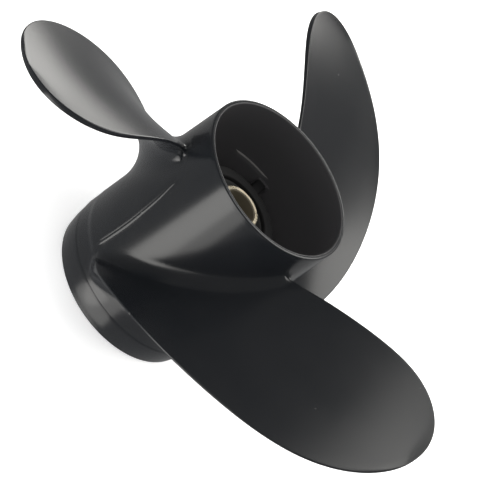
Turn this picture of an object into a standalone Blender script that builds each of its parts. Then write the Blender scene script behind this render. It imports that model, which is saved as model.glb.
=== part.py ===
"""Three-blade outboard propeller with a through-hub exhaust, standing on its forward rim.

Metres, +Z is the shaft axis and points aft. The origin is the balance point on the shaft axis.
The casting is one solid, as the real one is; a rubber bush and a splined brass sleeve sit in its hub.
"""
import math

import bpy
import bmesh
import numpy as np

MM = 0.001

# Barrel, measured down from the aft rim
AFT_RIM_Z = 40.0 * MM
BARREL_LENGTH = 86.5 * MM
RIM_RADIUS = 33.8 * MM
AFT_RADIUS = 34.3 * MM
BARREL_RADIUS = 35.3 * MM
FULL_RADIUS_DEPTH = 54.0 * MM
TAPER_DEPTH = 79.5 * MM
FORWARD_RADIUS = 33.5 * MM
RIM_ROUNDING = 0.5 * MM
BARREL_SEGMENTS = 72

# Inside of the barrel
MOUTH_RADIUS = 32.4 * MM
LEDGE_DEPTH = 24.4 * MM
WALL_RADIUS = 31.6 * MM
LEDGE_RADIUS = 31.0 * MM
COLLAR_BORE_RADIUS = 31.2 * MM

# Inner hub tube and the ribs that carry it
HUB_RADIUS = 20.0 * MM
HUB_BORE_RADIUS = 15.5 * MM
HUB_AFT_DEPTH = 24.4 * MM
HUB_FORWARD_DEPTH = 75.5 * MM
HUB_CHAMFER = 0.8 * MM
RIB_COUNT = 3
RIB_THICKNESS = 4.5 * MM
RIB_ANGLE = 26.6
RIB_SETBACK = 2.0 * MM
RIB_BITE = 1.0 * MM

# Bush and sleeve
FIT_GAP = 0.3 * MM
BUSH_SETBACK = 1.2 * MM
SLEEVE_RADIUS = 9.2 * MM
SLEEVE_AFT_DEPTH = 21.4 * MM
SLEEVE_FORWARD_DEPTH = 78.0 * MM
SLEEVE_CHAMFER = 0.6 * MM
COUNTERBORE_RADIUS = 7.15 * MM
COUNTERBORE_DEPTH = 10.0 * MM
SPLINE_TEETH = 12
SPLINE_MAJOR_RADIUS = 7.0 * MM
SPLINE_MINOR_RADIUS = 6.2 * MM

# Blades: a helical surface whose pitch eases towards the tip, raked and cupped a little
BLADE_COUNT = 3
BLADE_START_ANGLE = 180.0
BLADE_DEPTH = 32.4 * MM
PITCH_PER_RADIAN = 36.9 * MM
PITCH_EASE = -0.1306
RAKE = 0.0522
RAKE_EASE = 0.0705
CUP = 0.733

# Outline of a blade on its helical surface: control points of a smooth curve from the leading
# edge's root round the tip to the trailing edge's root, as (radius, distance along the surface)
BLADE_OUTLINE = (
    (32.1 * MM, -65.3 * MM),
    (59.4 * MM, -43.6 * MM),
    (82.2 * MM, -13.4 * MM),
    (109.2 * MM, 27.6 * MM),
    (119.5 * MM, 71.3 * MM),
    (114.4 * MM, 95.3 * MM),
    (89.4 * MM, 86.5 * MM),
    (62.8 * MM, 55.5 * MM),
    (32.1 * MM, 22.1 * MM),
)
# The leading edge sweeps back as it nears the barrel
ROOT_SWEEP = 8.0 * MM
SWEEP_START_RADIUS = 55.0 * MM

# Blade thickness; the trailing edge grows thicker towards the tip
LEADING_THICKNESS = 1.1 * MM
TRAILING_THICKNESS = 1.0 * MM
TRAILING_GROWTH = 0.0171
EDGE_CORNER = 0.35 * MM
ROOT_THICKNESS = 9.2 * MM
TIP_THICKNESS = 2.0 * MM
THICKNESS_FADE = 1.5
ROOT_BLUNTNESS = 0.6
BLUNT_REACH = 22.0 * MM
NARROW_CHORD = 30.0 * MM
PRESSURE_FILLET = 5.5 * MM
SUCTION_FILLET = 9.6 * MM
LEADING_FILLET = 5.5 * MM
TRAILING_FILLET = 3.5 * MM
FILLET_ANGLES = (12.0, 30.0, 50.0, 70.0, 90.0)
BLADE_BITE = 1.2 * MM
OUTER_STATIONS = 13
CHORD_STEPS = 12
OUTLINE_SAMPLES = 600


def clear_scene():
    """Remove what a new Blender file holds."""
    for item in list(bpy.data.objects):
        bpy.data.objects.remove(item, do_unlink=True)


def make_material(name, colour, roughness, metallic):
    """A plain Principled material."""
    material = bpy.data.materials.new(name)
    material.use_nodes = True
    shader = material.node_tree.nodes["Principled BSDF"]
    shader.inputs["Base Color"].default_value = (*colour, 1.0)
    shader.inputs["Roughness"].default_value = roughness
    shader.inputs["Metallic"].default_value = metallic
    return material


def add_object(name, mesh, material=None):
    """Put a mesh in the scene under the given name."""
    item = bpy.data.objects.new(name, mesh)
    bpy.context.scene.collection.objects.link(item)
    if material is not None:
        mesh.materials.append(material)
    return item


def smooth_shading(item, sharp_angle=35.0):
    """Round surfaces look round, and real edges stay sharp."""
    item.data.shade_smooth()
    item.data.set_sharp_from_angle(angle=math.radians(sharp_angle))


def turned_mesh(name, profile, segments):
    """A closed ring turned about Z from a closed profile of (radius, z) points, outer side downward."""
    shape = bmesh.new()
    loops = []
    for step in range(segments):
        angle = 2.0 * math.pi * step / segments
        ring = [shape.verts.new((r * math.cos(angle), r * math.sin(angle), z)) for r, z in profile]
        loops.append(ring)
    count = len(profile)
    for step in range(segments):
        here = loops[step]
        after = loops[(step + 1) % segments]
        for k in range(count):
            k_next = (k + 1) % count
            shape.faces.new((here[k], here[k_next], after[k_next], after[k]))
    bmesh.ops.recalc_face_normals(shape, faces=shape.faces)
    mesh = bpy.data.meshes.new(name)
    shape.to_mesh(mesh)
    shape.free()
    return mesh


def depth(value):
    """Height of a place that lies this far forward of the aft rim."""
    return AFT_RIM_Z - value


def barrel_radius(z):
    """Outer radius of the barrel at height z, without its rounded rims."""
    share = min(max((AFT_RIM_Z - z) / FULL_RADIUS_DEPTH, 0.0), 1.0)
    return AFT_RADIUS + (BARREL_RADIUS - AFT_RADIUS) * share


def barrel_profile():
    """Half section of the barrel wall, down its outer side and back up the inner side."""
    forward = depth(BARREL_LENGTH)
    return [
        (MOUTH_RADIUS + RIM_ROUNDING, depth(0.0)),
        (RIM_RADIUS - RIM_ROUNDING * 0.5, depth(0.0)),
        (AFT_RADIUS, depth(RIM_ROUNDING)),
        (BARREL_RADIUS, depth(FULL_RADIUS_DEPTH)),
        (BARREL_RADIUS, depth(TAPER_DEPTH)),
        (FORWARD_RADIUS, forward + RIM_ROUNDING),
        (FORWARD_RADIUS - RIM_ROUNDING, forward),
        (COLLAR_BORE_RADIUS + RIM_ROUNDING, forward),
        (COLLAR_BORE_RADIUS, forward + RIM_ROUNDING),
        (LEDGE_RADIUS, depth(HUB_FORWARD_DEPTH)),
        (LEDGE_RADIUS, depth(LEDGE_DEPTH)),
        (WALL_RADIUS, depth(LEDGE_DEPTH - RIM_ROUNDING)),
        (MOUTH_RADIUS, depth(RIM_ROUNDING)),
    ]


def hub_profile():
    """Half section of the inner hub tube."""
    top = depth(HUB_AFT_DEPTH)
    bottom = depth(HUB_FORWARD_DEPTH)
    return [
        (HUB_BORE_RADIUS, top),
        (HUB_RADIUS - HUB_CHAMFER, top),
        (HUB_RADIUS, top - HUB_CHAMFER),
        (HUB_RADIUS, bottom + HUB_CHAMFER),
        (HUB_RADIUS - HUB_CHAMFER, bottom),
        (HUB_BORE_RADIUS, bottom),
    ]


def rib_mesh(name, angle):
    """One straight rib that bites into the hub tube and the barrel wall."""
    inner = HUB_RADIUS - RIB_BITE
    outer = LEDGE_RADIUS + RIB_BITE
    half = RIB_THICKNESS / 2.0
    top = depth(HUB_AFT_DEPTH + RIB_SETBACK)
    bottom = depth(HUB_FORWARD_DEPTH - RIB_SETBACK)
    shape = bmesh.new()
    corners = [(inner, -half), (outer, -half), (outer, half), (inner, half)]
    cos_a = math.cos(angle)
    sin_a = math.sin(angle)
    foot = [shape.verts.new((x * cos_a - y * sin_a, x * sin_a + y * cos_a, bottom)) for x, y in corners]
    face = shape.faces.new(foot)
    raised = bmesh.ops.extrude_face_region(shape, geom=[face])
    moved = [item for item in raised["geom"] if isinstance(item, bmesh.types.BMVert)]
    bmesh.ops.translate(shape, verts=moved, vec=(0.0, 0.0, top - bottom))
    bmesh.ops.recalc_face_normals(shape, faces=shape.faces)
    mesh = bpy.data.meshes.new(name)
    shape.to_mesh(mesh)
    shape.free()
    return mesh


def spline_point(controls, t):
    """Point at t, from 0 to 1, on the clamped cubic B-spline of the control points."""
    degree = 3
    spans = len(controls) - degree
    knots = [0.0] * degree + [k / spans for k in range(spans + 1)] + [1.0] * degree
    span = min(int(t * spans), spans - 1) + degree
    points = [np.array(controls[span - degree + k]) for k in range(degree + 1)]
    for level in range(1, degree + 1):
        for k in range(degree, level - 1, -1):
            low = knots[span - degree + k]
            high = knots[span + 1 + k - level]
            share = (t - low) / (high - low)
            points[k] = (1.0 - share) * points[k - 1] + share * points[k]
    return points[degree]


def outline_sides():
    """The outline's leading and trailing side, each as radii and distances, rising to the tip."""
    curve = np.array([spline_point(BLADE_OUTLINE, k / OUTLINE_SAMPLES) for k in range(OUTLINE_SAMPLES + 1)])
    tip = int(curve[:, 0].argmax())
    leading = curve[: tip + 1]
    trailing = curve[tip:][::-1]
    inner = np.clip((SWEEP_START_RADIUS - leading[:, 0]) / (SWEEP_START_RADIUS - BARREL_RADIUS), 0.0, None)
    leading[:, 1] += ROOT_SWEEP * inner**2
    return leading, trailing


def blade_surface(radius, distance):
    """Angle and height of the blade's middle surface at a radius and a distance along it."""
    pitch = PITCH_PER_RADIAN + PITCH_EASE * (radius - RIM_RADIUS)
    turn = distance / math.hypot(radius, pitch)
    out = radius - RIM_RADIUS
    height = depth(BLADE_DEPTH) + pitch * turn + RAKE * out + RAKE_EASE * out * out + CUP * distance * distance
    return turn, height


def section_half(radius, lead, trail, thickness, u):
    """Half the edge thickness, and the belly on top of it, at a share of the chord."""
    trailing_edge = TRAILING_THICKNESS + TRAILING_GROWTH * (radius - RIM_RADIUS)
    half_edge = (LEADING_THICKNESS + (trailing_edge - LEADING_THICKNESS) * u) / 2.0
    blunt = min(max((radius - BARREL_RADIUS) / BLUNT_REACH, 0.0), 1.0)
    power = ROOT_BLUNTNESS + (1.0 - ROOT_BLUNTNESS) * blunt
    narrow = min((trail - lead) / NARROW_CHORD, 1.0)
    belly = max(thickness / 2.0 - half_edge, 0.0) * narrow * (4.0 * u * (1.0 - u)) ** power
    return half_edge, belly


def section_ring(radius, lead, trail, thickness, share):
    """Closed section of a blade on a cylinder: pressure side, trailing edge, suction side, leading edge.

    share runs from 1 at the foot of the root fillet to 0 above it.
    """
    pressure = []
    suction = []
    noses = []
    for k in range(CHORD_STEPS + 1):
        u = 0.5 - 0.5 * math.cos(math.pi * k / CHORD_STEPS)
        distance = lead + (trail - lead) * u
        turn, height = blade_surface(radius, distance)
        step = 0.2 * MM
        turn_b, height_b = blade_surface(radius, distance + step)
        along = np.array(((turn_b - turn) * radius, height_b - height))
        along /= np.linalg.norm(along)
        across = np.array((-along[1], along[0]))
        place = np.array((turn * radius, height))
        half_edge, belly = section_half(radius, lead, trail, thickness, u)
        edge_flare = LEADING_FILLET + (TRAILING_FILLET - LEADING_FILLET) * u
        blend = math.sqrt(max(4.0 * u * (1.0 - u), 0.0))
        up = share * (edge_flare + (PRESSURE_FILLET - edge_flare) * blend)
        down = share * (edge_flare + (SUCTION_FILLET - edge_flare) * blend)
        pressure.append(place + across * (half_edge + belly + up))
        suction.append(place - across * (half_edge + belly + down))
        if k in (0, CHORD_STEPS):
            ahead = along * (EDGE_CORNER + share * edge_flare) * (1.0 if k else -1.0)
            lift = across * (half_edge - EDGE_CORNER + share * edge_flare * 0.4)
            noses.append((place + ahead + lift, place + ahead - lift))
    (lead_up, lead_down), (trail_up, trail_down) = noses
    return pressure + [trail_up, trail_down] + suction[::-1] + [lead_down, lead_up]


def blade_stations(root_radius, tip_radius):
    """Stations from inside the barrel wall to the tip: radius and fillet share."""
    stations = [(root_radius - BLADE_BITE, 1.0)]
    for angle in FILLET_ANGLES:
        lift = 1.0 - math.cos(math.radians(angle))
        stations.append((root_radius + lift * SUCTION_FILLET, 1.0 - math.sin(math.radians(angle))))
    start = stations[-1][0]
    for k in range(1, OUTER_STATIONS + 1):
        stations.append((start + (tip_radius - start) * math.sin(0.5 * math.pi * k / OUTER_STATIONS), 0.0))
    return stations


def blade_rings():
    """Rings of points for one blade whose generator line lies at angle 0."""
    leading, trailing = outline_sides()
    root_radius = (AFT_RADIUS + BARREL_RADIUS) / 2.0
    tip_radius = leading[-1, 0] - EDGE_CORNER
    rings = []
    for radius, share in blade_stations(root_radius, tip_radius):
        lead = np.interp(radius + EDGE_CORNER, leading[:, 0], leading[:, 1])
        trail = np.interp(radius + EDGE_CORNER, trailing[:, 0], trailing[:, 1])
        inward = (tip_radius - max(radius, root_radius)) / (tip_radius - root_radius)
        thickness = TIP_THICKNESS + (ROOT_THICKNESS - TIP_THICKNESS) * inward**THICKNESS_FADE
        near = max(0.0, 1.0 - max(radius - root_radius, 0.0) / SUCTION_FILLET)
        ring = []
        for arc, height in section_ring(radius, lead, trail, thickness, share):
            seated = radius + (barrel_radius(height) - root_radius) * near
            turn = arc / radius
            ring.append((seated * math.cos(turn), seated * math.sin(turn), height))
        rings.append(ring)
    return rings


def blade_mesh(name, angle):
    """One closed blade, with its root inside the barrel wall."""
    shape = bmesh.new()
    cos_a = math.cos(angle)
    sin_a = math.sin(angle)
    rings = []
    for ring in blade_rings():
        rings.append([shape.verts.new((x * cos_a - y * sin_a, x * sin_a + y * cos_a, z)) for x, y, z in ring])
    count = len(rings[0])
    for low, high in zip(rings, rings[1:]):
        for k in range(count):
            k_next = (k + 1) % count
            shape.faces.new((low[k], low[k_next], high[k_next], high[k]))
    for ring in (rings[0], rings[-1]):
        pressure = ring[: CHORD_STEPS + 1]
        trail_up, trail_down = ring[CHORD_STEPS + 1 : CHORD_STEPS + 3]
        suction = ring[CHORD_STEPS + 3 : 2 * CHORD_STEPS + 4][::-1]
        lead_down, lead_up = ring[-2:]
        shape.faces.new((lead_up, pressure[0], suction[0], lead_down))
        shape.faces.new((trail_down, suction[-1], pressure[-1], trail_up))
        for k in range(CHORD_STEPS):
            shape.faces.new((pressure[k], pressure[k + 1], suction[k + 1], suction[k]))
    bmesh.ops.remove_doubles(shape, verts=shape.verts, dist=0.00002)
    bmesh.ops.recalc_face_normals(shape, faces=shape.faces)
    mesh = bpy.data.meshes.new(name)
    shape.to_mesh(mesh)
    shape.free()
    return mesh


def fuse(item, name, mesh):
    """Join a hidden helper to the casting with an exact union."""
    helper = add_object(name, mesh)
    helper.hide_render = True
    helper.display_type = "WIRE"
    modifier = item.modifiers.new(name, "BOOLEAN")
    modifier.operation = "UNION"
    modifier.solver = "EXACT"
    modifier.object = helper


def make_casting(paint):
    """Barrel, hub tube, ribs and blades in one solid."""
    casting = add_object(
        "propeller_casting", turned_mesh("propeller_casting", barrel_profile(), BARREL_SEGMENTS), paint
    )
    for k in range(BLADE_COUNT):
        angle = math.radians(BLADE_START_ANGLE + 360.0 / BLADE_COUNT * k)
        fuse(casting, f"blade_shape_{k + 1}", blade_mesh(f"blade_shape_{k + 1}", angle))
    fuse(casting, "hub_shape", turned_mesh("hub_shape", hub_profile(), BARREL_SEGMENTS))
    for k in range(RIB_COUNT):
        angle = math.radians(BLADE_START_ANGLE + RIB_ANGLE + 360.0 / RIB_COUNT * k)
        fuse(casting, f"rib_shape_{k + 1}", rib_mesh(f"rib_shape_{k + 1}", angle))
    smooth_shading(casting)
    return casting


def make_bush(rubber):
    """Rubber ring pressed between the hub tube and the sleeve."""
    top = depth(HUB_AFT_DEPTH + BUSH_SETBACK)
    bottom = depth(HUB_FORWARD_DEPTH - BUSH_SETBACK)
    outer = HUB_BORE_RADIUS - FIT_GAP
    inner = SLEEVE_RADIUS + FIT_GAP
    profile = [(inner, top), (outer, top), (outer, bottom), (inner, bottom)]
    bush = add_object("rubber_bush", turned_mesh("rubber_bush", profile, 48), rubber)
    smooth_shading(bush)
    return bush


def spline_outline():
    """Splined bore of the sleeve: square-shouldered teeth round a circle, four points to a tooth."""
    points = []
    for tooth in range(SPLINE_TEETH):
        start = 2.0 * math.pi * tooth / SPLINE_TEETH
        quarter = 2.0 * math.pi / SPLINE_TEETH / 4.0
        points.append((SPLINE_MINOR_RADIUS, start))
        points.append((SPLINE_MINOR_RADIUS, start + 1.6 * quarter))
        points.append((SPLINE_MAJOR_RADIUS, start + 2.0 * quarter))
        points.append((SPLINE_MAJOR_RADIUS, start + 3.6 * quarter))
    return points


def make_sleeve(brass):
    """Brass sleeve with a plain counterbore at its aft end and a splined bore beyond it."""
    top = depth(SLEEVE_AFT_DEPTH)
    bottom = depth(SLEEVE_FORWARD_DEPTH)
    step = top - COUNTERBORE_DEPTH
    bore = spline_outline()
    shape = bmesh.new()
    rows = []
    levels = (
        (top, COUNTERBORE_RADIUS),
        (top, SLEEVE_RADIUS - SLEEVE_CHAMFER),
        (top - SLEEVE_CHAMFER, SLEEVE_RADIUS),
        (bottom + SLEEVE_CHAMFER, SLEEVE_RADIUS),
        (bottom, SLEEVE_RADIUS - SLEEVE_CHAMFER),
        (bottom, None),
        (step, None),
        (step, COUNTERBORE_RADIUS),
    )
    for z, turned in levels:
        row = []
        for radius, angle in bore:
            reach = radius if turned is None else turned
            row.append(shape.verts.new((reach * math.cos(angle), reach * math.sin(angle), z)))
        rows.append(row)
    count = len(bore)
    for k, row in enumerate(rows):
        below = rows[(k + 1) % len(rows)]
        for j in range(count):
            j_next = (j + 1) % count
            shape.faces.new((row[j], row[j_next], below[j_next], below[j]))
    bmesh.ops.recalc_face_normals(shape, faces=shape.faces)
    mesh = bpy.data.meshes.new("splined_sleeve")
    shape.to_mesh(mesh)
    shape.free()
    sleeve = add_object("splined_sleeve", mesh, brass)
    smooth_shading(sleeve)
    return sleeve


def main():
    """Build the propeller."""
    clear_scene()
    paint = make_material("black_paint", (0.018, 0.019, 0.021), 0.32, 0.0)
    rubber = make_material("black_rubber", (0.02, 0.02, 0.02), 0.75, 0.0)
    brass = make_material("brass", (0.68, 0.50, 0.24), 0.3, 1.0)
    make_casting(paint)
    make_bush(rubber)
    make_sleeve(brass)


main()
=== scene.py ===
# Outboard propeller: one painted casting, a rubber bush and a splined brass sleeve
import math

import bmesh
import bpy
import numpy as np
from mathutils import Matrix, Vector
from mathutils.geometry import delaunay_2d_cdt


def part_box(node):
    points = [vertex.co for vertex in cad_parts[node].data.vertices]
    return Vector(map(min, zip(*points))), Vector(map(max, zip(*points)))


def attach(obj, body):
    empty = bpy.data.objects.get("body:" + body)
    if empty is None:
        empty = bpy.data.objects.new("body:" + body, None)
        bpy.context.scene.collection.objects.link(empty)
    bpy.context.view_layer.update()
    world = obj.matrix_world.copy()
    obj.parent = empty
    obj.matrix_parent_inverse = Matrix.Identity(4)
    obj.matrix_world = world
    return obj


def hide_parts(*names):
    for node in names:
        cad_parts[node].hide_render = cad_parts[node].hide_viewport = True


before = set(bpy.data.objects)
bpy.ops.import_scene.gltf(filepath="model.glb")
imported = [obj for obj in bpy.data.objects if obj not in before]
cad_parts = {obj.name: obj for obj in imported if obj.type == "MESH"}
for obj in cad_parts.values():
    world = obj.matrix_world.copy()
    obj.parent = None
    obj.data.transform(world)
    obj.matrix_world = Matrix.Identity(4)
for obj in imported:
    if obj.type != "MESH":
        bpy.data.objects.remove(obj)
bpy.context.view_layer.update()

mm = 0.001
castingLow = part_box("propeller_casting")[0]
mergeDistance = 0.002 * mm
collapseDistance = 0.001 * mm
meetDistance = 1e-7  # metres, for points that fall together in the flat triangles
endTolerance = 1e-9
white = (1.0, 1.0, 1.0, 1.0)

# Barrel sizes; depths run forward from the aft rim
barrel = {
    "length": 86.5 * mm,
    "rimRadius": 33.8 * mm,
    "rounding": 0.5 * mm,  # aft and forward rim edges
    "rimFlat": 0.4,  # part of the rounding by which the aft rim is wider than rimRadius
    "mouthRadius": 32.4 * mm,
    "wallRadius": 31.3 * mm,
    "collarBore": 31.2 * mm,
    "padDepth": 24.4 * mm,  # cast pads on the wall, one beside each rib
    "padHeight": 0.7 * mm,
    "padSteps": ((0.12 * mm, 0.7), (0.4 * mm, 1.0)),  # their aft face as (further depth, share of the height)
    "padFade": 4,
    "padStart": 87.0,
    "padSpan": 30.0,
    "padEase": 4.0,  # degrees over which a pad rises at its start
    "segments": 144,
    "rowStep": 1.6 * mm,
    "footClear": 0.55,  # free of grid points beside a blade's foot and a ridge, as shares of rowStep
    "ridgeClear": 0.3,
    "roundingRows": 5,
    "mouthRows": 12,
    "mouthCurve": 0.8,
    "wallRows": 24,
}
aftRimZ = castingLow.z + barrel["length"]

# Outer side of the barrel as (depth, radius): draft, turned band, fine line, taper to the forward rim
barrelSide = (
    (0.5 * mm, 34.25 * mm),
    (54.0 * mm, 35.3 * mm),
    (67.9 * mm, 35.3 * mm),
    (68.15 * mm, 35.18 * mm),
    (75.4 * mm, 35.12 * mm),
    (75.65 * mm, 34.72 * mm),
    (75.9 * mm, 34.84 * mm),
    (79.0 * mm, 34.64 * mm),
    (82.5 * mm, 34.22 * mm),
    (86.0 * mm, 33.5 * mm),
)

blade = {
    "count": 3,
    "startAngle": 180.0,
    "depth": 32.36 * mm,
    "pitch": 36.91 * mm,  # travel per radian at the rim radius
    "pitchEase": -0.1306,
    "rake": 0.0522,
    "rakeEase": 0.0705,
    "cup": 0.733,
    "leadEdge": 1.1 * mm,
    "leadRootEdge": 3.4 * mm,  # added to it at the root, where the leading edge ends in a blunt face
    "leadRootEnd": 48.0 * mm,
    "leadRootBlend": 9.0 * mm,
    "trailEdge": 1.6 * mm,  # where the radius is twice the rim's, thicker outwards
    "trailGrowth": 0.0171,
    "tipBlend": 30.0 * mm,
    "corner": 0.35 * mm,
    "rootSweep": 8.0 * mm,
    "sweepStart": 55.0 * mm,
    "sweepEnd": 35.2 * mm,
    "rootRadius": 34.8 * mm,
    "rootThickness": 9.2 * mm,
    "tipThickness": 2.0 * mm,
    "thicknessFade": 1.5,
    "rootBluntness": 0.6,
    "bluntReach": 22.0 * mm,
    "narrowChord": 30.0 * mm,  # sections shorter than this get thinner
    "noseReach": 12.0 * mm,  # height over which the ends' roundings leave the barrel
    "pressureFillet": 5.5 * mm,
    "suctionFillet": 9.6 * mm,
    "leadFillet": 2.6 * mm,
    "trailFillet": 3.5 * mm,
    "outlineSamples": 900,
    "chordSteps": 46,
    "filletRows": 10,
    "outerRows": 56,
    "cornerSteps": 3,
    "seatPasses": 3,  # rounds in which the foot settles on the barrel's radius
    "slopeStep": 0.1 * mm,  # distance over which the surface's direction is taken
}
# Control points of the outline, (radius, distance along the helical surface), leading root to trailing root
bladeOutline = np.array((
    (32.1, -65.3), (59.4, -43.65), (82.15, -13.4), (109.2, 27.55), (119.5, 71.3),
    (114.4, 95.3), (89.4, 86.5), (62.8, 55.55), (32.1, 22.1),
)) * mm

# Raised parting ridge between two blades, its path as (depth in mm, degrees from the blade it starts at)
ridge = {
    "path": (
        (65.8, -70.8), (60.0, -70.2), (49.0, -69.4), (38.0, -71.2),
        (28.0, -72.6), (21.5, -75.9), (16.3, -75.6),
    ),
    # across it, as (offset towards the leading edge it starts at, height): a fine groove, then the ridge
    "section": (
        (-1.3 * mm, 0.0), (-1.0 * mm, -0.22 * mm), (-0.8 * mm, -0.24 * mm), (-0.35 * mm, 0.34 * mm),
        (-0.05 * mm, 0.4 * mm), (0.35 * mm, 0.2 * mm), (0.75 * mm, 0.0),
    ),
    "samples": 48,
    "startFade": 0.05,  # shares of its length over which it rises and falls
    "endFade": 0.12,
}


def depthZ(depth):
    return aftRimZ - depth


def barrelRadius(z):
    depths, radii = zip(*barrelSide)
    return np.interp(aftRimZ - z, depths, radii)


def meshObject(name, verts, faces, sharpAngle=40.0):
    mesh = bpy.data.meshes.new(name)
    mesh.from_pydata([tuple(v) for v in verts], [], faces)
    mesh.validate()
    shape = bmesh.new()
    shape.from_mesh(mesh)
    bmesh.ops.remove_doubles(shape, verts=shape.verts, dist=mergeDistance)
    bmesh.ops.dissolve_degenerate(shape, edges=shape.edges, dist=collapseDistance)
    spare = [vert for vert in shape.verts if len(vert.link_edges) == 2]
    bmesh.ops.dissolve_verts(shape, verts=spare)  # points left on an edge at a blade's tip
    bmesh.ops.recalc_face_normals(shape, faces=shape.faces)
    shape.to_mesh(mesh)
    shape.free()
    mesh.shade_smooth()
    mesh.set_sharp_from_angle(angle=math.radians(sharpAngle))
    item = bpy.data.objects.new(name, mesh)
    bpy.context.scene.collection.objects.link(item)
    return item


# Blade surface
def splineCurve(controls, samples):
    # clamped cubic B-spline by de Boor's rule
    spans = len(controls) - 3
    knots = [0.0] * 3 + [k / spans for k in range(spans + 1)] + [1.0] * 3
    curve = []
    for i in range(samples + 1):
        t = i / samples
        span = min(int(t * spans), spans - 1) + 3
        points = [controls[span - 3 + k].copy() for k in range(4)]
        for level in range(1, 4):
            for k in range(3, level - 1, -1):
                low = knots[span - 3 + k]
                high = knots[span + 1 + k - level]
                share = (t - low) / (high - low)
                points[k] = (1.0 - share) * points[k - 1] + share * points[k]
        curve.append(points[3])
    return np.array(curve)


def smoothStep(x):
    x = np.clip(x, 0.0, 1.0)
    return x * x * (3.0 - 2.0 * x)


def outlineSides():
    # each side as rows of radius, distance, outward direction and edge thickness, rising to the tip
    curve = splineCurve(bladeOutline, blade["outlineSamples"])
    tip = int(curve[:, 0].argmax())
    inRoot = np.clip(blade["sweepStart"] - curve[:tip, 0], 0.0, None)
    curve[:tip, 1] += blade["rootSweep"] * (inRoot / (blade["sweepStart"] - blade["sweepEnd"])) ** 2
    tangent = np.gradient(curve, axis=0)
    tangent /= np.linalg.norm(tangent, axis=1)[:, None]
    outward = np.stack([tangent[:, 1], -tangent[:, 0]], 1)
    outward *= np.sign(outward[len(curve) // 2, 0])
    run = np.concatenate([[0.0], np.cumsum(np.linalg.norm(np.diff(curve, axis=0), axis=1))])
    blend = smoothStep(0.5 + (run - run[tip]) / blade["tipBlend"])
    trailEdge = blade["trailEdge"] + blade["trailGrowth"] * (curve[:, 0] - 2.0 * barrel["rimRadius"])
    rootShare = smoothStep((blade["leadRootEnd"] - curve[:, 0]) / blade["leadRootBlend"])
    edge = (blade["leadEdge"] + blade["leadRootEdge"] * rootShare) * (1.0 - blend) + trailEdge * blend
    rows = np.column_stack([curve - outward * blade["corner"], outward, edge])
    tip = int(rows[:, 0].argmax())
    return rows[: tip + 1], rows[tip:][::-1]


def bladeMiddle(radius, distance):
    out = radius - barrel["rimRadius"]
    pitch = blade["pitch"] + blade["pitchEase"] * out
    turn = distance / np.hypot(radius, pitch)
    z = depthZ(blade["depth"]) + pitch * turn + blade["rake"] * out + blade["rakeEase"] * out**2
    return turn, z + blade["cup"] * distance**2


def liftedPoint(radius, distance, lift):
    # a point lifted off the middle surface, still at the same radius: angle and height
    turn, z = bladeMiddle(radius, distance)
    turnOn, zOn = bladeMiddle(radius, distance + blade["slopeStep"])
    along = np.array(((turnOn - turn) * radius, zOn - z))
    along /= np.hypot(*along)
    return turn - along[1] * lift / radius, z + along[0] * lift


leadingSide, trailingSide = outlineSides()
tipRadius = leadingSide[-1, 0]
rootRadius = blade["rootRadius"]


def sideAt(side, radius):
    return [float(np.interp(radius, side[:, 0], side[:, k])) for k in (1, 2, 3, 4)]


def bladeVertex(row, u, face, nose=None):
    # row counts out from the barrel; u runs from leading to trailing edge; face is 1 aft, -1 forward;
    # nose is (ahead, lift, side), shares of the way round the rounded end of the section
    bulge = 4.0 * u * (1.0 - u)
    wide = blade["pressureFillet"] if face > 0 else blade["suctionFillet"]
    narrowFillet = blade["leadFillet"] + (blade["trailFillet"] - blade["leadFillet"]) * u
    fillet = narrowFillet + (wide - narrowFillet) * bulge**0.5
    filletRows = blade["filletRows"]
    seat = rootRadius
    for _ in range(blade["seatPasses"]):
        if row <= filletRows:
            angle = 0.5 * math.pi * row / filletRows
            radius = seat + fillet * (1.0 - math.cos(angle))
            flare = fillet * (1.0 - math.sin(angle))
        else:
            share = math.sin(0.5 * math.pi * (row - filletRows) / blade["outerRows"])
            radius = seat + fillet + (tipRadius - seat - fillet) * share
            flare = 0.0
        lead, leadOutR, leadOutS, leadEdge = sideAt(leadingSide, radius)
        trail, trailOutR, trailOutS, trailEdge = sideAt(trailingSide, radius)
        distance = lead + (trail - lead) * u
        halfEdge = (leadEdge + (trailEdge - leadEdge) * u) / 2.0
        inward = (tipRadius - radius) / (tipRadius - rootRadius)
        fade = max(inward, 0.0) ** blade["thicknessFade"]
        thick = blade["tipThickness"] + (blade["rootThickness"] - blade["tipThickness"]) * fade
        narrow = min((trail - lead) / blade["narrowChord"], 1.0)
        blunt = float(smoothStep((radius - rootRadius) / blade["bluntReach"]))
        power = blade["rootBluntness"] + (1.0 - blade["rootBluntness"]) * blunt
        half = halfEdge + max(thick / 2.0 - halfEdge, 0.0) * narrow * bulge**power + flare
        if nose is None:
            lift = half * face
            radiusOut = radius
        else:
            outR, outS = (leadOutR, leadOutS) if u == 0.0 else (trailOutR, trailOutS)
            reach = blade["corner"] + flare
            ahead = reach * nose[0]
            flat = halfEdge - blade["corner"]
            lift = flat * nose[2] + reach * nose[1]
            near = min(max((radius - rootRadius) / blade["noseReach"], 0.0), 1.0)
            radiusOut = radius + outR * ahead * near
            distance += (outS * near + math.copysign(1.0 - near, outS)) * ahead
        turn, z = liftedPoint(radiusOut, distance, lift)
        seat = float(barrelRadius(z))
    return radiusOut * math.cos(turn), radiusOut * math.sin(turn), z


def nosePlaces(u, face):
    # round one end of the section, from the given face to the other: two rounded corners and a flat
    places = []
    steps = blade["cornerSteps"]
    for side in (face, -face):
        angles = [0.5 * math.pi * k / steps for k in range(1, steps + 1)]
        if side != face:
            angles = [0.5 * math.pi - angle for angle in [0.0] + angles[:-1]]
        for angle in angles:
            places.append((u, side, (math.sin(angle), side * math.cos(angle), side)))
    return places


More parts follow.
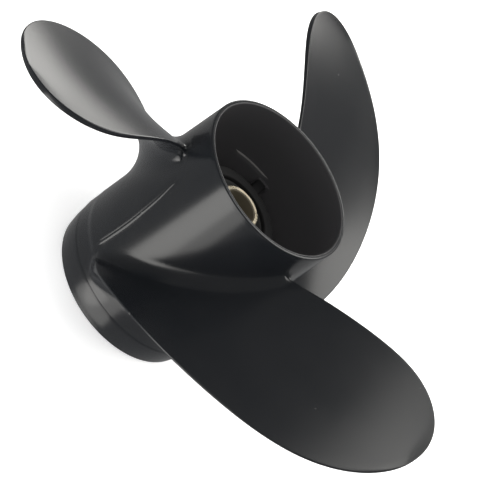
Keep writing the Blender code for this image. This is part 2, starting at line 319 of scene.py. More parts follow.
def bladeSkin():
    # vertices and quads of one blade, and the ring of vertices round its foot
    steps = blade["chordSteps"]
    rows = blade["filletRows"] + blade["outerRows"]
    places = [(0.5 - 0.5 * math.cos(math.pi * k / steps), 1, None) for k in range(steps + 1)]
    places += nosePlaces(1.0, 1)
    places += [(0.5 + 0.5 * math.cos(math.pi * k / steps), -1, None) for k in range(steps + 1)]
    places += nosePlaces(0.0, -1)
    verts, rings = [], []
    for row in range(rows + 1):
        ring = []
        for u, face, nose in places:
            u = 0.0 if u < endTolerance else 1.0 if u > 1.0 - endTolerance else u
            ring.append(len(verts))
            verts.append(bladeVertex(row, u, face, nose))
        rings.append(ring)
    faces = []
    for low, high in zip(rings, rings[1:]):
        for k in range(len(low)):
            j = (k + 1) % len(low)
            faces.append((low[k], low[j], high[j], high[k]))
    return verts, faces, rings[0]


def helixAngle(z):
    # the blades' middle line on the barrel, so that a third of the barrel unrolls round one blade
    return (z - depthZ(blade["depth"])) / blade["pitch"]


def barrelRows():
    top, bottom = depthZ(barrelSide[0][0]), depthZ(barrelSide[-1][0])
    marks = [depthZ(depth) for depth, radius in barrelSide]
    rows = [top]
    for high, low in zip(marks, marks[1:]):
        count = max(1, round((high - low) / barrel["rowStep"]))
        rows += [high + (low - high) * k / count for k in range(1, count + 1)]
    rows[0], rows[-1] = top, bottom
    return rows


# The ridge's middle line, unrolled at the rim radius
unroll = barrel["rimRadius"]
thirdWidth = 2.0 * math.pi / blade["count"] * unroll
ridgePath = splineCurve(
    np.array([(math.radians(angle) * unroll, depthZ(depth * mm)) for depth, angle in ridge["path"]]),
    ridge["samples"],
)


def ridgeLift(x, z):
    # how far the ridge stands out at a place on the unrolled barrel
    lift = 0.0
    offsets, heights = zip(*ridge["section"])
    start, gap = ridgePath[:-1], np.diff(ridgePath, axis=0)
    for shift in (0.0, thirdWidth, -thirdWidth):
        away = np.array((x - shift, z)) - start
        share = np.clip((away * gap).sum(1) / (gap**2).sum(1), 0.0, 1.0)
        far = np.hypot(*(away - gap * share[:, None]).T)
        k = int(far.argmin())
        along = (k + share[k]) / len(gap)
        ends = float(smoothStep(along / ridge["startFade"]) * smoothStep((1.0 - along) / ridge["endFade"]))
        across = math.copysign(far[k], gap[k, 1] * away[k, 0] - gap[k, 0] * away[k, 1])
        lift += ends * float(np.interp(across, offsets, heights, left=0.0, right=0.0))
    return lift


def ridgeLines():
    # lines along the ridge in a third's own coordinates, cut where two thirds meet
    half = thirdWidth / 2.0
    tangent = np.gradient(ridgePath, axis=0)
    tangent /= np.linalg.norm(tangent, axis=1)[:, None]
    lines = []
    for across, height in ridge["section"]:
        offset = ridgePath + np.stack([tangent[:, 1], -tangent[:, 0]], 1) * across
        places = [np.array((x - helixAngle(z) * unroll, z)) for x, z in offset]
        piece = [places[0]]
        for here, after in zip(places, places[1:]):
            if here[0] > -half >= after[0]:
                cut = here + (after - here) * (here[0] + half) / (here[0] - after[0])
                piece.append(np.array((-half, cut[1])))
                lines.append(piece)
                piece = [np.array((half, cut[1]))]
            wrap = 2.0 * half if after[0] <= -half else 0.0
            piece.append(after + np.array((wrap, 0.0)))
        lines.append(piece)
    return lines


def lineDistance(x, z, start, end):
    gap = end - start
    share = ((x - start[:, 0]) * gap[:, 0] + (z - start[:, 1]) * gap[:, 1]) / (gap**2).sum(1)
    share = np.clip(share, 0.0, 1.0)
    return float(np.hypot(start[:, 0] + share * gap[:, 0] - x, start[:, 1] + share * gap[:, 1] - z).min())


def barrelThird(foot):
    # the barrel's outer skin from one blade's foot to the middle between blades, as flat triangles first
    half = thirdWidth / 2.0
    count = barrel["segments"] // blade["count"]
    rows = barrelRows()
    points = []
    for x, y, z in foot:
        angle = math.atan2(y, x) - helixAngle(z)
        angle = (angle + math.pi) % (2.0 * math.pi) - math.pi
        points.append(Vector((angle * unroll, z)))
    size = len(points)
    edges = [(k, (k + 1) % size) for k in range(size)]
    footArray = np.array([tuple(p) for p in points])
    footNext = np.roll(footArray, -1, axis=0)
    lines = ridgeLines()
    for line in lines:
        edges += [(len(points) + k, len(points) + k + 1) for k in range(len(line) - 1)]
        points += [Vector(place) for place in line]
    ridgeStart = np.vstack([np.array(line[:-1]) for line in lines])
    ridgeEnd = np.vstack([np.array(line[1:]) for line in lines])

    def insideFoot(x, z):
        crossing = (footArray[:, 1] > z) != (footNext[:, 1] > z)
        slope = (footNext[:, 0] - footArray[:, 0]) / np.where(crossing, footNext[:, 1] - footArray[:, 1], 1.0)
        return int((crossing & (x < footArray[:, 0] + slope * (z - footArray[:, 1]))).sum()) % 2 == 1

    for i, z in enumerate(rows):
        for k in range(count + 1):
            x = -half + 2.0 * half * k / count
            onEdge = i in (0, len(rows) - 1) or k in (0, count)
            clear = (
                not insideFoot(x, z)
                and lineDistance(x, z, footArray, footNext) > barrel["footClear"] * barrel["rowStep"]
                and lineDistance(x, z, ridgeStart, ridgeEnd) > barrel["ridgeClear"] * barrel["rowStep"]
            )
            if onEdge or clear:
                points.append(Vector((x, z)))
    flat, _, triangles, *_ = delaunay_2d_cdt(points, edges, [], 0, meetDistance)
    verts = []
    for p in flat:
        angle = p.x / unroll + helixAngle(p.y)
        radius = float(barrelRadius(p.y)) + ridgeLift(angle * unroll, p.y)
        verts.append((radius * math.cos(angle), radius * math.sin(angle), p.y))
    faces = []
    for triangle in triangles:
        x = sum(flat[k].x for k in triangle) / 3.0
        z = sum(flat[k].y for k in triangle) / 3.0
        if not insideFoot(x, z):
            faces.append(tuple(triangle))
    return verts, faces


def padShare(angle):
    # how far the wall's cast pads stand in at an angle, with a sharp end and a fading one
    third = 360.0 / blade["count"]
    past = (math.degrees(angle) - barrel["padStart"]) % third
    return float(smoothStep(past / barrel["padEase"]) * (past < barrel["padSpan"]))


def barrelInside():
    # rims and inner wall, turned, with its first and last ring on the outer skin's own points
    rounding = barrel["rounding"]
    steps = barrel["roundingRows"]
    outer, rimOuter, mouth = barrelSide[0][1], barrel["rimRadius"], barrel["mouthRadius"]
    wall, bore, bottom = barrel["wallRadius"], barrel["collarBore"], barrel["length"]
    pad = barrel["padDepth"]
    quarter = [0.5 * math.pi * k / steps for k in range(steps + 1)]
    width = outer - (rimOuter - rounding * barrel["rimFlat"])
    profile = [(outer - width * (1.0 - math.cos(a)), rounding * (1.0 - math.sin(a)), 0.0) for a in quarter]
    profile += [
        (mouth + rounding * (1.0 - math.sin(a)), rounding * (1.0 - math.cos(a)), 0.0) for a in quarter
    ]
    for k in range(1, barrel["mouthRows"] + 1):
        share = k / barrel["mouthRows"]
        radius = mouth + (wall - mouth) * share ** barrel["mouthCurve"]
        profile.append((radius, rounding + (pad - rounding) * share, 0.0))
    profile += [(wall, pad + further, part) for further, part in barrel["padSteps"]]
    for k in range(1, barrel["wallRows"] + 1):
        share = k / barrel["wallRows"]
        depth = pad + (bottom - rounding - pad) * share
        profile.append((wall + (bore - wall) * share, depth, 1.0 - share ** barrel["padFade"]))
    for a in quarter[1:]:
        profile.append((bore + rounding * (1.0 - math.cos(a)), bottom - rounding * (1.0 - math.sin(a)), 0.0))
    forwardRadius = barrelSide[-1][1]
    for a in quarter:
        radius = forwardRadius - rounding * (1.0 - math.sin(a))
        profile.append((radius, bottom - rounding * (1.0 - math.cos(a)), 0.0))
    profile[-1] = (forwardRadius, barrelSide[-1][0], 0.0)
    count = barrel["segments"]
    step = 2.0 * math.pi / count
    first = helixAngle(depthZ(profile[0][1])) - math.pi / blade["count"]
    last = helixAngle(depthZ(profile[-1][1])) - math.pi / blade["count"]
    last -= round((last - first) / step) * step
    verts, faces = [], []
    for i, (radius, depth, padPart) in enumerate(profile):
        phase = first + (last - first) * i / (len(profile) - 1)
        for k in range(count):
            angle = phase + step * k
            inPlace = angle + math.radians(blade["startAngle"])
            reach = radius - barrel["padHeight"] * padPart * padShare(inPlace)
            verts.append((reach * math.cos(angle), reach * math.sin(angle), depthZ(depth)))
    for i in range(len(profile) - 1):
        for k in range(count):
            j = (k + 1) % count
            faces.append((i * count + k, i * count + j, (i + 1) * count + j, (i + 1) * count + k))
    return verts, faces


def turned(points, angle):
    cosA, sinA = math.cos(angle), math.sin(angle)
    return [(x * cosA - y * sinA, x * sinA + y * cosA, z) for x, y, z in points]


def turnedRing(profile, count):
    # a closed profile of (radius, z) turned about the shaft axis
    verts, faces = [], []
    for radius, z in profile:
        for k in range(count):
            angle = 2.0 * math.pi * k / count
            verts.append((radius * math.cos(angle), radius * math.sin(angle), z))
    for i in range(len(profile)):
        below = (i + 1) % len(profile)
        for k in range(count):
            j = (k + 1) % count
            faces.append((i * count + k, i * count + j, below * count + j, below * count + k))
    return verts, faces


def roundedCorner(radius, z, dr, dz, steps=4):
    # quarter round whose corner lies at (radius, z), from (radius - dr, z) to (radius, z - dz)
    places = []
    for k in range(steps + 1):
        angle = 0.5 * math.pi * k / steps
        places.append((radius - dr * (1.0 - math.sin(angle)), z - dz * (1.0 - math.cos(angle))))
    return places


# Inner hub tube and its ribs, cast in one with the barrel
hub = {
    "radius": 20.0 * mm,
    "bore": 15.5 * mm,
    "aftDepth": 24.4 * mm,
    "forwardDepth": 75.5 * mm,
    "rounding": 1.0 * mm,
    "ribs": 3,
    "ribAngle": 26.6,
    "ribThickness": 4.5 * mm,
    "ribSetback": 2.0 * mm,
    "ribFillet": 2.4 * mm,
    "ribRounding": 1.2 * mm,
    "boreRounding": 0.5 * mm,
    "ribTubeBite": 0.8 * mm,  # how far a rib runs into the tube and into the wall
    "ribWallBite": 0.6 * mm,
    "segments": 96,
    "lengthSteps": 16,
    "ribLengthSteps": 12,
    "ribFilletSteps": 6,
    "ribRoundingSteps": 4,
}


def hubTube():
    r, top, bottom = hub["rounding"], depthZ(hub["aftDepth"]), depthZ(hub["forwardDepth"])
    small, steps = hub["boreRounding"], hub["lengthSteps"]
    profile = roundedCorner(hub["radius"], top, r, r)
    profile += [(hub["radius"], top + (bottom - top) * k / steps) for k in range(1, steps)]
    profile += roundedCorner(hub["radius"], bottom, r, -r)[::-1]
    profile += roundedCorner(hub["bore"], bottom, -small, -small)
    profile += [(hub["bore"], bottom + (top - bottom) * k / steps) for k in range(1, steps)]
    profile += roundedCorner(hub["bore"], top, -small, small)[::-1]
    return turnedRing(profile, hub["segments"])


def ribBlock():
    # one rib along +X with hollow fillets where it meets the tube and the wall, and a rounded aft edge
    tube, wall = hub["radius"], barrel["wallRadius"]
    fillet, rounding = hub["ribFillet"], hub["ribRounding"]
    top, bottom = depthZ(hub["aftDepth"] + hub["ribSetback"]), depthZ(hub["forwardDepth"] - hub["ribSetback"])
    steps = hub["ribFilletSteps"]
    bends = [fillet * (1.0 - math.cos(0.5 * math.pi * k / steps)) for k in range(1, steps + 1)]
    along = [tube - hub["ribTubeBite"], tube]
    along += [tube + bend for bend in bends]
    along += [wall - bend for bend in bends[::-1]]
    along += [wall, wall + hub["ribWallBite"]]
    levels = [(0.0, 1.0)]
    for k in range(1, hub["ribRoundingSteps"] + 1):
        angle = 0.5 * math.pi * k / hub["ribRoundingSteps"]
        levels.append((rounding * (1.0 - math.cos(angle)), 1.0 - math.sin(angle)))
    rows = [(top - down, rounding * inset) for down, inset in levels]
    length = hub["ribLengthSteps"]
    rows += [(top + (bottom - top) * k / length, 0.0) for k in range(1, length)]
    rows += [(bottom + down, rounding * inset) for down, inset in levels[::-1]]
    verts, rings = [], []
    for z, inset in rows:
        sides = []
        for x in along:
            near = min(max(x - tube, 0.0), max(wall - x, 0.0))
            share = min(near / fillet, 1.0)
            flare = fillet * (1.0 - math.sqrt(1.0 - (1.0 - share) ** 2))
            sides.append((x, hub["ribThickness"] / 2.0 + flare - inset))
        ring = [(x, y, z) for x, y in sides] + [(x, -y, z) for x, y in sides[::-1]]
        rings.append(range(len(verts), len(verts) + len(ring)))
        verts += ring
    faces = []
    for low, high in zip(rings, rings[1:]):
        for k in range(len(low)):
            j = (k + 1) % len(low)
            faces.append((low[k], low[j], high[j], high[k]))
    size = len(along)
    for ring in (rings[0], rings[-1]):
        for k in range(size - 1):
            faces.append((ring[k], ring[k + 1], ring[2 * size - 2 - k], ring[2 * size - 1 - k]))
    return verts, faces


def makeCasting():
    bladeVerts, bladeFaces, footRing = bladeSkin()
    thirdVerts, thirdFaces = barrelThird([bladeVerts[k] for k in footRing])
    shells = []
    for k in range(blade["count"]):
        angle = math.radians(blade["startAngle"] + 360.0 / blade["count"] * k)
        shells += [(bladeVerts, bladeFaces, angle), (thirdVerts, thirdFaces, angle)]
    shells.append((*barrelInside(), math.radians(blade["startAngle"])))
    shells.append((*hubTube(), 0.0))
    rib = ribBlock()
    for k in range(hub["ribs"]):
        shells.append((*rib, math.radians(blade["startAngle"] + hub["ribAngle"] + 360.0 / hub["ribs"] * k)))
    verts, faces = [], []
    for shellVerts, shellFaces, angle in shells:
        base = len(verts)
        verts += turned(shellVerts, angle)
        faces += [tuple(base + v for v in face) for face in shellFaces]
    item = meshObject("propellerCasting", verts, faces)
    print("casting", len(item.data.vertices), "vertices")
    return item


casting = makeCasting()
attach(casting, "root")
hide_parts("propeller_casting")

# Rubber bush between the tube and the sleeve, its ends hollowed a little between two lips
bush = {
    "outer": 15.2 * mm,
    "inner": 9.5 * mm,
    "aftDepth": 25.6 * mm,
    "forwardDepth": 74.3 * mm,
    "rounding": 0.8 * mm,
    "hollow": 1.3 * mm,
    "hollowSteps": 12,
    "segments": 96,
}


def makeBush():
    top, bottom, r = depthZ(bush["aftDepth"]), depthZ(bush["forwardDepth"]), bush["rounding"]
    outerEnd = roundedCorner(bush["outer"], top, r, r)
    innerEnd = roundedCorner(bush["inner"], top, -r, r)[::-1]
    low, high = innerEnd[-1][0], outerEnd[0][0]
    hollow = []
    for k in range(1, bush["hollowSteps"]):
        share = k / bush["hollowSteps"]
        hollow.append((low + (high - low) * share, top - bush["hollow"] * math.sin(math.pi * share) ** 2))
    aft = innerEnd + hollow + outerEnd
    forward = [(radius, bottom + top - z) for radius, z in aft[::-1]]
    item = meshObject("rubberBush", *turnedRing(aft + forward, bush["segments"]))
    print("bush", len(item.data.vertices), "vertices")
    return item


bushItem = makeBush()
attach(bushItem, "root")
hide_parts("rubber_bush")

# Brass sleeve: chamfered ends, a plain counterbore at the aft end and splines further in
sleeve = {
    "radius": 9.2 * mm,
    "aftDepth": 21.4 * mm,
    "forwardDepth": 78.0 * mm,
    "chamfer": 0.45 * mm,
    "boreChamfer": 0.4 * mm,
    "counterbore": 7.15 * mm,
    "counterDepth": 10.0 * mm,
    "teeth": 12,
    "major": 7.0 * mm,
    "minor": 6.2 * mm,
    "toothSteps": 12,
    "flankStart": 0.18,  # share of a tooth's pitch, from the middle of the gap
    "flankWidth": 0.14,
    "chamferRun": 1.4,  # its length along the axis, in chamfers, with a bend near its outer end
    "chamferBend": 0.15,
    "endWiden": 0.5 * mm,  # the splines' run-out at the forward end: width and depth
    "endDepth": 0.6 * mm,
    "stepWiden": 0.35 * mm,  # and at the counterbore's step
    "stepDepth": 0.4 * mm,
    "stepRise": 0.3 * mm,
    "outerSteps": 14,
    "splineSteps": 12,
    "boreSteps": 5,
    "sharpAngle": 30.0,
}


def splineRadius(k):
    # bore radius at step k round the sleeve: trapezoid teeth with eased flanks
    phase = (k % sleeve["toothSteps"]) / sleeve["toothSteps"]
    crest = float(smoothStep((abs(phase - 0.5) - sleeve["flankStart"]) / sleeve["flankWidth"]))
    return sleeve["major"] + (sleeve["minor"] - sleeve["major"]) * crest


def makeSleeve():
    count = sleeve["teeth"] * sleeve["toothSteps"]
    top, bottom = depthZ(sleeve["aftDepth"]), depthZ(sleeve["forwardDepth"])
    step = top - sleeve["counterDepth"]
    r, c, b = sleeve["radius"], sleeve["chamfer"], sleeve["boreChamfer"]
    plain = sleeve["counterbore"]
    bend, run = sleeve["chamferBend"], sleeve["chamferRun"]
    outer, inner, mouth = sleeve["outerSteps"], sleeve["splineSteps"], sleeve["boreSteps"]
    # rows are (radius, None, z), or (0, how much wider than the splines, z) where the splines run
    rows = [(plain + b, None, top), (r - c, None, top)]
    rows += [(r - c * bend, None, top - c * (1.0 - bend)), (r, None, top - c * run)]
    rows += [(r, None, top + (bottom - top) * k / outer) for k in range(1, outer)]
    rows += [(r, None, bottom + c * run), (r - c, None, bottom)]
    rows += [(0.0, sleeve["endWiden"], bottom), (0.0, 0.0, bottom + sleeve["endDepth"])]
    rows += [(0.0, 0.0, bottom + (step - bottom) * k / inner) for k in range(1, inner)]
    rows += [(0.0, 0.0, step - sleeve["stepDepth"]), (0.0, sleeve["stepWiden"], step)]
    rows += [(plain, None, step + sleeve["stepRise"])]
    rows += [(plain, None, step + (top - step) * k / mouth) for k in range(1, mouth)]
    rows += [(plain, None, top - b)]
    verts, faces = [], []
    for radius, widen, z in rows:
        for k in range(count):
            reach = radius if widen is None else min(splineRadius(k) + widen, plain)
            angle = 2.0 * math.pi * k / count
            verts.append((reach * math.cos(angle), reach * math.sin(angle), z))
    for i in range(len(rows)):
        below = (i + 1) % len(rows)
        for k in range(count):
            j = (k + 1) % count
            faces.append((i * count + k, i * count + j, below * count + j, below * count + k))
    item = meshObject("brassSleeve", verts, faces, sleeve["sharpAngle"])
    print("sleeve", len(item.data.vertices), "vertices")
    return item


sleeveItem = makeSleeve()
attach(sleeveItem, "root")
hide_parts("splined_sleeve")


# Node helpers: a value in inputs may be a constant or another node's socket
def addNode(tree, kind, inputs=None, **settings):
    node = tree.nodes.new(kind)
    for name, value in settings.items():
        setattr(node, name, value)
    for name, value in (inputs or {}).items():
        socket = node.inputs[name]
        if isinstance(value, bpy.types.NodeSocket):
            tree.links.new(value, socket)
        else:
            socket.default_value = value
    return node


def addMath(tree, operation, first, second=0.0):
    return addNode(tree, "ShaderNodeMath", {0: first, 1: second}, operation=operation).outputs[0]


def addRange(tree, value, fromLow, fromHigh, toLow=0.0, toHigh=1.0):
    ends = {"Value": value, "From Min": fromLow, "From Max": fromHigh, "To Min": toLow, "To Max": toHigh}
    return addNode(tree, "ShaderNodeMapRange", ends, interpolation_type="SMOOTHSTEP").outputs["Result"]


def newGroup(name, inputs, outputs):
    # a shader node group with named sockets, (name, kind, default) in and (name, kind) out
    tree = bpy.data.node_groups.new(name, "ShaderNodeTree")
    for socketName, kind, default in inputs:
        socket = tree.interface.new_socket(socketName, in_out="INPUT", socket_type=kind)
        if default is not None:
            socket.default_value = default
    for socketName, kind in outputs:
        tree.interface.new_socket(socketName, in_out="OUTPUT", socket_type=kind)
    return tree, tree.nodes.new("NodeGroupInput").outputs, tree.nodes.new("NodeGroupOutput").inputs


def placeGroup(tree, group, inputs):
    return addNode(tree, "ShaderNodeGroup", inputs, node_tree=group).outputs


# The noise stays mostly between these ends
mottleEnds = (0.3, 0.7)
brokenEnds = (0.35, 0.6)


def makeMottle():
    # slow change over the surface, between a low and a high value
    tree, given, result = newGroup("mottle", [
        ("Place", "NodeSocketVector", None), ("Scale", "NodeSocketFloat", 30.0),
        ("Low", "NodeSocketFloat", 0.0), ("High", "NodeSocketFloat", 1.0),
    ], [("Value", "NodeSocketFloat")])
    noise = addNode(tree, "ShaderNodeTexNoise", {
        "Vector": given["Place"], "Scale": given["Scale"], "Detail": 3.0, "Roughness": 0.55,
    })
    value = addRange(tree, noise.outputs["Fac"], *mottleEnds, given["Low"], given["High"])
    tree.links.new(value, result["Value"])
    return tree


def makeGrain():
    # fine height of a sprayed, cast or moulded surface
    tree, given, result = newGroup("grain", [
        ("Place", "NodeSocketVector", None), ("Scale", "NodeSocketFloat", 900.0),
        ("Rough", "NodeSocketFloat", 0.5),
    ], [("Height", "NodeSocketFloat")])
    cells = addNode(tree, "ShaderNodeTexNoise", {
        "Vector": given["Place"], "Scale": given["Scale"], "Detail": 2.0, "Roughness": given["Rough"],
    })
    tree.links.new(cells.outputs["Fac"], result["Height"])
    return tree


def makeSpecks():
    # sparse small dots, such as dust under the paint
    tree, given, result = newGroup("specks", [
        ("Place", "NodeSocketVector", None), ("Scale", "NodeSocketFloat", 300.0),
        ("Size", "NodeSocketFloat", 0.2), ("Share", "NodeSocketFloat", 0.05),
    ], [("Mask", "NodeSocketFloat")])
    cells = addNode(tree, "ShaderNodeTexVoronoi", {"Vector": given["Place"], "Scale": given["Scale"]})
    middle = addMath(tree, "MULTIPLY", given["Size"], 0.5)
    near = addRange(tree, cells.outputs["Distance"], given["Size"], middle)
    pick = addNode(tree, "ShaderNodeSeparateColor", {"Color": cells.outputs["Color"]}).outputs["Red"]
    chosen = addMath(tree, "LESS_THAN", pick, given["Share"])
    tree.links.new(addMath(tree, "MULTIPLY", near, chosen), result["Mask"])
    return tree


def makeEdgeHighlight():
    # painted edge highlight: thin, broken lighter lines along raised edges
    tree, given, result = newGroup("edgeHighlightLines", [
        ("Place", "NodeSocketVector", None), ("Scale", "NodeSocketFloat", 120.0),
        ("Start", "NodeSocketFloat", 0.56), ("End", "NodeSocketFloat", 0.72),
    ], [("Mask", "NodeSocketFloat")])
    raised = addNode(tree, "ShaderNodeNewGeometry").outputs["Pointiness"]
    edge = addRange(tree, raised, given["Start"], given["End"])
    noise = addNode(tree, "ShaderNodeTexNoise", {
        "Vector": given["Place"], "Scale": given["Scale"], "Detail": 2.0,
    })
    broken = addRange(tree, noise.outputs["Fac"], *brokenEnds)
    tree.links.new(addMath(tree, "MULTIPLY", edge, broken), result["Mask"])
    return tree


def makeTurning():
    # tool marks round the shaft axis, stepping along it and outwards
    tree, given, result = newGroup("turning", [
        ("Place", "NodeSocketVector", None), ("Pitch", "NodeSocketFloat", 0.0004),
    ], [("Height", "NodeSocketFloat"), ("Radius", "NodeSocketFloat"), ("Level", "NodeSocketFloat")])
    parts = addNode(tree, "ShaderNodeSeparateXYZ", {"Vector": given["Place"]}).outputs
    flat = addNode(tree, "ShaderNodeCombineXYZ", {"X": parts["X"], "Y": parts["Y"]}).outputs["Vector"]
    radius = addNode(tree, "ShaderNodeVectorMath", {0: flat}, operation="LENGTH").outputs["Value"]
    way = addMath(tree, "ADD", radius, parts["Z"])
    turns = addMath(tree, "DIVIDE", way, given["Pitch"])
    steps = {"W": turns, "Scale": 1.0, "Detail": 2.0}
    noise = addNode(tree, "ShaderNodeTexNoise", steps, noise_dimensions="1D")
    tree.links.new(noise.outputs["Fac"], result["Height"])
    tree.links.new(radius, result["Radius"])
    tree.links.new(parts["Z"], result["Level"])
    return tree


mottle, grain, specks = makeMottle(), makeGrain(), makeSpecks()
edgeHighlight, turning = makeEdgeHighlight(), makeTurning()
print("node groups", len(bpy.data.node_groups))


def newMaterial(name):
    material = bpy.data.materials.new(name)
    material.use_nodes = True
    tree = material.node_tree
    place = addNode(tree, "ShaderNodeTexCoord").outputs["Object"]
    return material, tree, tree.nodes["Principled BSDF"], place


def mixColour(tree, share, first, second):
    mix = addNode(tree, "ShaderNodeMix", {0: share, 6: first, 7: second}, data_type="RGBA")
    return mix.outputs[2]


def mixValue(tree, share, first, second):
    return addNode(tree, "ShaderNodeMix", {0: share, 2: first, 3: second}).outputs[0]


# Satin black paint: glossier outside, dull where the spray only dusted the inside, with painted light and
# shade there
paint = {
    "colour": (0.0058, 0.0067, 0.0080, 1.0),
    "paleColour": (0.0080, 0.0087, 0.0100, 1.0),
    "insideFillColour": (0.032, 0.031, 0.033, 1.0),
    "deepFillColour": (0.056, 0.054, 0.056, 1.0),
    "hubShadeColour": (0.006, 0.006, 0.0064, 1.0),
    "ledgeHighlightColour": (0.105, 0.102, 0.098, 1.0),
    "speckColour": (0.06, 0.06, 0.058, 1.0),
    "edgeHighlightColour": (0.05, 0.05, 0.052, 1.0),
    "roughLow": 0.17,
    "roughHigh": 0.23,
    "insideRough": 0.6,
    "insideRadius": 33.0 * mm,
    "insideBlend": 0.3 * mm,
    "hubRadius": 30.0 * mm,
    "hubBlend": 0.6 * mm,
    "hubRough": 0.9,
    "fillStart": 12.0 * mm,
    "fillEnd": 40.0 * mm,
    "ledgeReach": 1.0 * mm,
    "aftLow": 0.25,  # how far a face at the pads' step must turn aft to take the painted highlight
    "aftHigh": 0.6,
    "bandDepth": 68.0 * mm,
    "bandBlend": 0.4 * mm,
    "cloudScale": 28.0,
    "sheenScale": 14.0,
    "speckScale": 260.0,
    "speckSize": 0.16,
    "speckShare": 0.035,
    "edgeHighlightScale": 150.0,
    "edgeHighlightStart": 0.6,
    "edgeHighlightEnd": 0.8,
    "edgeHighlightAmount": 0.5,
    "peelScale": 700.0,
    "peelHeight": 0.003 * mm,
    "peelRough": 0.5,
    "markPitch": 0.45 * mm,
    "markHeight": 0.0025 * mm,
}


def paintMaterial():
    material, tree, shader, place = newMaterial("satinBlackPaint")
    marks = placeGroup(tree, turning, {"Place": place, "Pitch": paint["markPitch"]})
    wallStart, hubStart, bandTop = paint["insideRadius"], paint["hubRadius"], depthZ(paint["bandDepth"])
    inside = addRange(tree, marks["Radius"], wallStart, wallStart - paint["insideBlend"])
    band = addRange(tree, marks["Level"], bandTop, bandTop - paint["bandBlend"])
    cloud = placeGroup(tree, mottle, {"Place": place, "Scale": paint["cloudScale"]})["Value"]
    colour = mixColour(tree, cloud, paint["colour"], paint["paleColour"])
    dust = placeGroup(tree, specks, {
        "Place": place, "Scale": paint["speckScale"],
        "Size": paint["speckSize"], "Share": paint["speckShare"],
    })["Mask"]
    colour = mixColour(tree, dust, colour, paint["speckColour"])
    # painted edge highlight: paler paint along the raised edges
    edgeLit = placeGroup(tree, edgeHighlight, {
        "Place": place, "Scale": paint["edgeHighlightScale"], "Start": paint["edgeHighlightStart"], "End": paint["edgeHighlightEnd"],
    })["Mask"]
    edgeLitShare = addMath(tree, "MULTIPLY", edgeLit, paint["edgeHighlightAmount"])
    colour = mixColour(tree, edgeLitShare, colour, paint["edgeHighlightColour"])
    # painted fill light: the inside of the barrel is paler than the outside paint
    colour = mixColour(tree, inside, colour, paint["insideFillColour"])
    # painted fill light: paler still further into the barrel, to offset the shade there
    further = addRange(tree, marks["Level"], depthZ(paint["fillStart"]), depthZ(paint["fillEnd"]))
    colour = mixColour(tree, addMath(tree, "MULTIPLY", further, inside), colour, paint["deepFillColour"])
    # painted highlight on the aft-facing step of the wall's pads, only where the face turns aft
    away = addMath(tree, "ABSOLUTE", addMath(tree, "SUBTRACT", marks["Level"], depthZ(barrel["padDepth"])))
    facing = addNode(tree, "ShaderNodeTexCoord").outputs["Normal"]
    facingZ = addNode(tree, "ShaderNodeSeparateXYZ", {"Vector": facing}).outputs["Z"]
    aftward = addRange(tree, facingZ, paint["aftLow"], paint["aftHigh"])
    ledgeHighlightMask = addMath(tree, "MULTIPLY", addMath(tree, "LESS_THAN", away, paint["ledgeReach"]), aftward)
    colour = mixColour(tree, addMath(tree, "MULTIPLY", ledgeHighlightMask, inside), colour, paint["ledgeHighlightColour"])
    # painted shade: the hub tube and the inner part of the ribs go near black, and rough
    hubShadeMask = addRange(tree, marks["Radius"], hubStart, hubStart - paint["hubBlend"])
    colour = mixColour(tree, hubShadeMask, colour, paint["hubShadeColour"])
    tree.links.new(colour, shader.inputs["Base Color"])
    sheen = placeGroup(tree, mottle, {
        "Place": place, "Scale": paint["sheenScale"], "Low": paint["roughLow"], "High": paint["roughHigh"],
    })["Value"]
    sheen = mixValue(tree, inside, sheen, paint["insideRough"])
    tree.links.new(mixValue(tree, hubShadeMask, sheen, paint["hubRough"]), shader.inputs["Roughness"])
    peel = placeGroup(tree, grain, {
        "Place": place, "Scale": paint["peelScale"], "Rough": paint["peelRough"],
    })["Height"]
    height = addMath(tree, "MULTIPLY", peel, paint["peelHeight"])
    cut = addMath(tree, "MULTIPLY", addMath(tree, "MULTIPLY", marks["Height"], band), paint["markHeight"])
    bump = addNode(tree, "ShaderNodeBump", {"Distance": 1.0, "Height": addMath(tree, "ADD", height, cut)})
    tree.links.new(bump.outputs["Normal"], shader.inputs["Normal"])
    return material


casting.data.materials.append(paintMaterial())

# Moulded rubber
rubber = {
    "colour": (0.0055, 0.0055, 0.0058, 1.0),
    "paleColour": (0.0095, 0.0095, 0.0092, 1.0),
    "cloudScale": 120.0,
    "sheenScale": 60.0,
    "roughLow": 0.78,
    "roughHigh": 0.95,
    "grainScale": 1600.0,
    "grainHeight": 0.02 * mm,
    "grainRough": 0.65,
}


def rubberMaterial():
    material, tree, shader, place = newMaterial("blackRubber")
    cloud = placeGroup(tree, mottle, {"Place": place, "Scale": rubber["cloudScale"]})["Value"]
    colour = mixColour(tree, cloud, rubber["colour"], rubber["paleColour"])
    tree.links.new(colour, shader.inputs["Base Color"])
    dull = placeGroup(tree, mottle, {
        "Place": place, "Scale": rubber["sheenScale"], "Low": rubber["roughLow"], "High": rubber["roughHigh"],
    })["Value"]
    tree.links.new(dull, shader.inputs["Roughness"])
    skin = placeGroup(tree, grain, {
        "Place": place, "Scale": rubber["grainScale"], "Rough": rubber["grainRough"],
    })["Height"]
    bump = addNode(tree, "ShaderNodeBump", {"Distance": rubber["grainHeight"], "Height": skin})
    tree.links.new(bump.outputs["Normal"], shader.inputs["Normal"])
    return material


bushItem.data.materials.append(rubberMaterial())

# Turned brass, darker, dull olive and not metallic down the bore
brass = {
    "colour": (0.84, 0.77, 0.62, 1.0),
    "dullColour": (0.66, 0.58, 0.42, 1.0),
    "boreColour": (0.115, 0.098, 0.066, 1.0),
    "boreRadius": 7.5 * mm,
    "boreBlend": 0.15 * mm,
    "cloudScale": 160.0,
    "sheenScale": 220.0,
    "roughLow": 0.24,
    "roughHigh": 0.4,
    "boreRough": 0.55,
    "markPitch": 0.22 * mm,
    "markHeight": 0.004 * mm,
}


